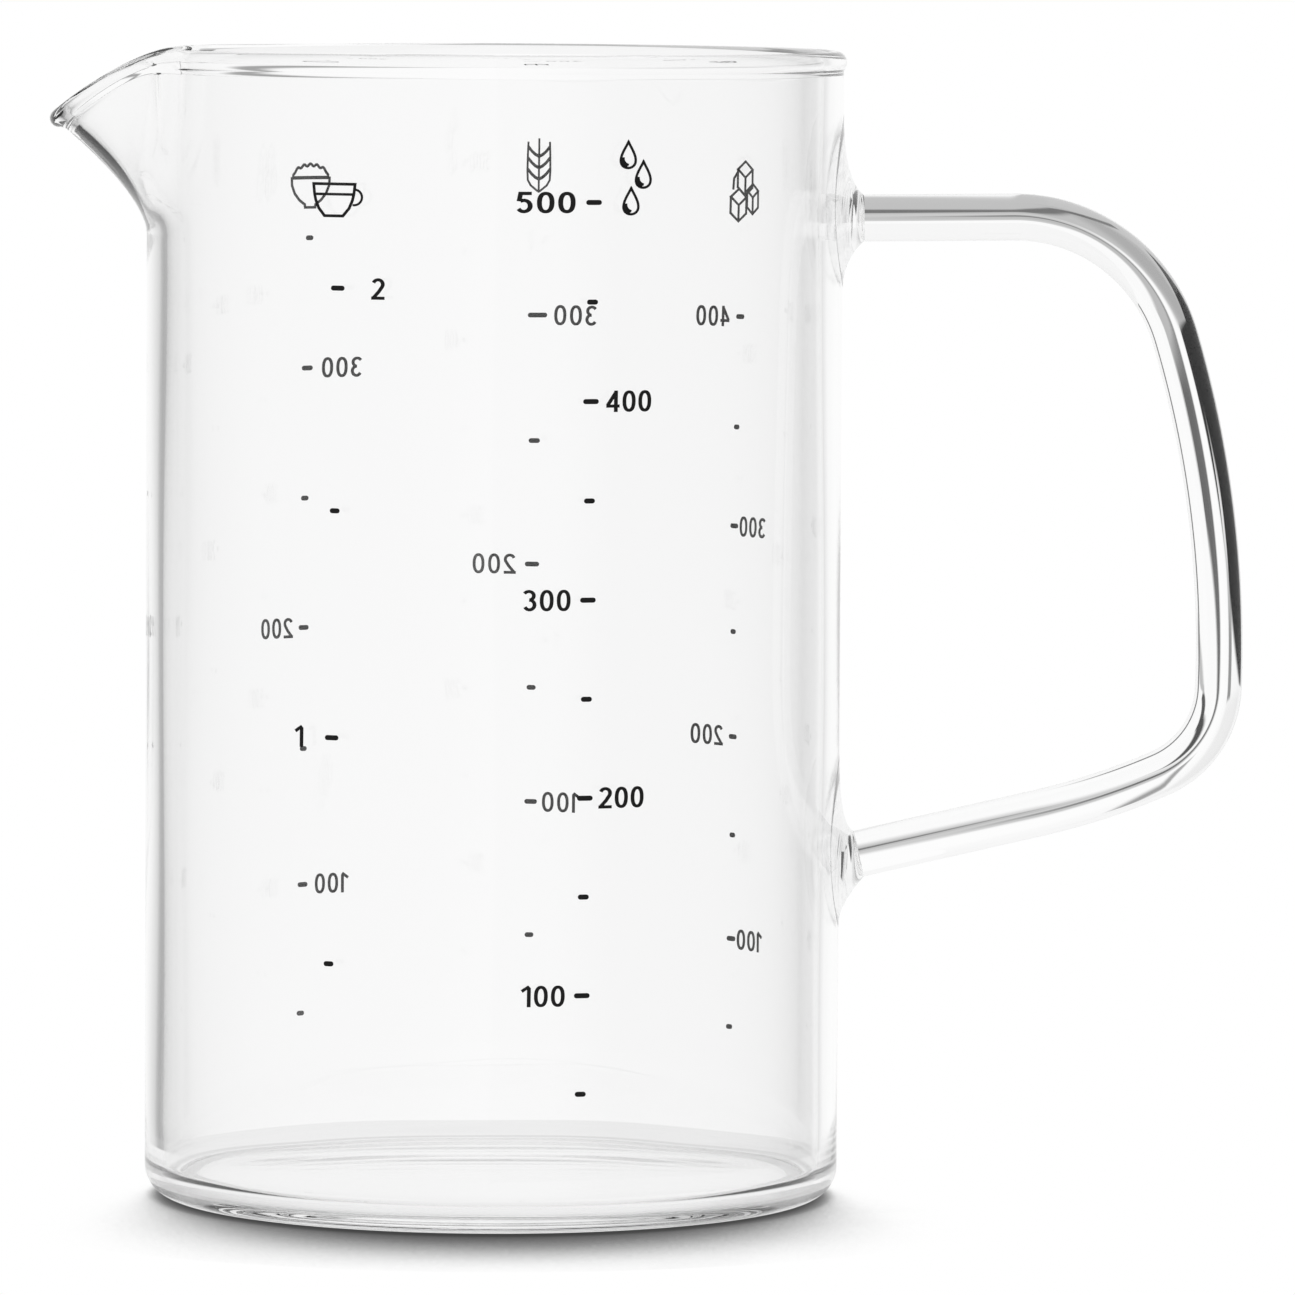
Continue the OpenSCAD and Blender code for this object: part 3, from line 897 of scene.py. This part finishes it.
# Tones round the room: those in the thin walls, and those that shine on the skin
soft_sides = tone_curve(side, -180, 180, [
    (-180, 0.8), (-90, 0.85), (-60, 0.8), (-37, 0.5), (-31, 0.24), (-28.5, 0.3), (-26, 0.55),
    (-17, 0.8), (-8, 0.95), (0, 0.99), (8, 0.99), (16, 1), (28, 0.94), (33, 0.72), (38, 0.9),
    (90, 0.95), (180, 0.8)])
shine_sides = tone_curve(side, -180, 180, [
    (-180, 0.8), (-150, 0.5), (-60, 0.4), (-40, 0.9), (0, 1.0), (42, 0.9), (56, 0.15), (140, 0.15),
    (160, 0.8), (180, 0.8)])

# Screens stand before the white, from pale grey to nearly black: tone, middle, half size,
# turn and softness of each
hard = (1, 1, 1, 1)
for tone, place, half, turn, soft in [
        (0.88, (-28, 15), (16, 17), 0, 3), (0.52, (-40, -40), (45, 33.5), 0, 1.5),
        (0.42, (-13, -18), (10, 10), 0, 3), (0.6, (3, -2), (1.5, 5), 0, 0.7),
        (0.5, (9, -0.5), (7, 2.6), 14, 1), (0.12, (8.5, -2.6), (6, 1.3), 14, 0.5),
        (0.3, (-15, -3.6), (3, 1.5), 0, 0.7), (0.15, (0.8, -16), (6.5, 1.3), 68, 0.7),
        (0.15, (-11, -29.2), (12.5, 1.3), 36.6, 0.7), (0.06, (13, -10), (7, 1.6), -12, 0.7),
        (0.06, (25, -9.3), (8, 1.8), 16, 0.7), (0.5, (44, -4.7), (15, 0.8), 6, 0.5),
        (0.35, (-5.5, 15), (15, 0.8), 107, 0.6)]:
    hard = blend_tones(card(place, half, turn, soft), hard, (tone, tone, tone, 1))
# A dark hoop stands round the right side
from_middle = nodes.new("ShaderNodeVectorMath")
from_middle.operation = "LENGTH"
links.new(direction.outputs[0], from_middle.inputs[0])
off_hoop = math_node("ABSOLUTE", math_node("SUBTRACT", from_middle.outputs["Value"], 51))
hoop = math_node("MULTIPLY", fade(off_hoop, 3, 1), card((60, 0), (38, 60), 0, 3))
hard = blend_tones(hoop, hard, (0.15, 0.15, 0.15, 1))
# The black screen: a slanting right edge, and above it a point that runs out to the right
upper = beyond(0.06, 1, -6.0, 0.3)
point = math_node("MULTIPLY", beyond(0.38, -1, 3.64, 0.5), beyond(1, 0, -7, 0.5))
block = math_node("MULTIPLY", beyond(0.93, -0.37, -16.85, 0.8), beyond(-0.37, -0.93, 43.9, 1))
black = math_node("MULTIPLY", upper, math_node("MAXIMUM", point, block))
black = math_node("MULTIPLY", black, beyond(-1, 0, 58, 2))
hard = blend_tones(black, hard, (0.01, 0.01, 0.01, 1))
hard = blend_tones(card((-14, -5.8), (2, 0.6), 0, 0.4), hard, (0.8, 0.8, 0.8, 1))

# Light that crossed few walls without a mirror turn comes from the screens. What glances off
# the skin has its own tones, a thick edge is dark under the spout, and all else is soft
rays = nodes.new("ShaderNodeLightPath")
few_walls = math_node("LESS_THAN", rays.outputs["Transmission Depth"], 2.5)
no_mirror = math_node("LESS_THAN", rays.outputs["Glossy Depth"], 0.5)
few_mirrors = math_node("LESS_THAN", rays.outputs["Glossy Depth"], 3.5)
on_skin = math_node("LESS_THAN", rays.outputs["Transmission Depth"], 0.5)
solid_glass = math_node("MULTIPLY", few_walls, no_mirror)
thick_edge = math_node("MULTIPLY", few_walls, few_mirrors)
under_spout = math_node("MULTIPLY", beyond(0.78, 1, -3.6, 1), beyond(-0.78, 1, -3.6, 1))
under_spout = math_node("MULTIPLY", under_spout, beyond(0, -1, 38, 3))
edge_tone = blend_tones(under_spout, soft_sides, (0.05, 0.05, 0.05, 1))
edge_tone = blend_tones(beyond(-1, 0, -40, 3), edge_tone, (0.5, 0.5, 0.5, 1))
thin_tone = blend_tones(on_skin, blend_tones(thick_edge, soft_sides, edge_tone), shine_sides)
studio_tone = blend_tones(solid_glass, thin_tone, hard)
bent = math_node("MAXIMUM", rays.outputs["Is Transmission Ray"], rays.outputs["Is Glossy Ray"])
on_pieces = math_node("LESS_THAN", rays.outputs["Diffuse Depth"], 0.5)
seen_in_glass = math_node("MULTIPLY", bent, on_pieces)
tone = blend_tones(seen_in_glass, (1, 1, 1, 1), studio_tone)
room = nodes.new("ShaderNodeBackground")
out = nodes.new("ShaderNodeOutputWorld")
links.new(tone, room.inputs["Color"])
links.new(room.outputs[0], out.inputs["Surface"])

# The camera: it stands well back with a long lens, a little above the rim, and looks a
# little down.
camera_data = bpy.data.cameras.new("camera")
camera = bpy.data.objects.new("camera", camera_data)
bpy.context.scene.collection.objects.link(camera)
bpy.context.scene.camera = camera
camera_data.sensor_width = 36
camera_data.lens = 292.05
camera_data.clip_start = 0.05
camera_data.clip_end = 20
camera_place = Vector((0, -1206.87, 153.72)) * MM
pitch, yaw, roll = (math.radians(a) for a in (4.2867, 0.8442, -0.3137))
look = Vector((math.sin(yaw) * math.cos(pitch), math.cos(yaw) * math.cos(pitch), -math.sin(pitch)))
right = Vector((math.cos(yaw), -math.sin(yaw), 0))
up = right.cross(look)
right, up = (math.cos(roll) * right - math.sin(roll) * up, math.sin(roll) * right + math.cos(roll) * up)
camera.matrix_world = Matrix.Translation(camera_place) @ Matrix((right, up, -look)).transposed().to_4x4()

bpy.context.scene.view_settings.view_transform = "Standard"

# Light runs along inside the glass and turns many times before it comes out
light_turns = 32
bpy.context.scene.cycles.max_bounces = light_turns
bpy.context.scene.cycles.glossy_bounces = light_turns
bpy.context.scene.cycles.transmission_bounces = light_turns
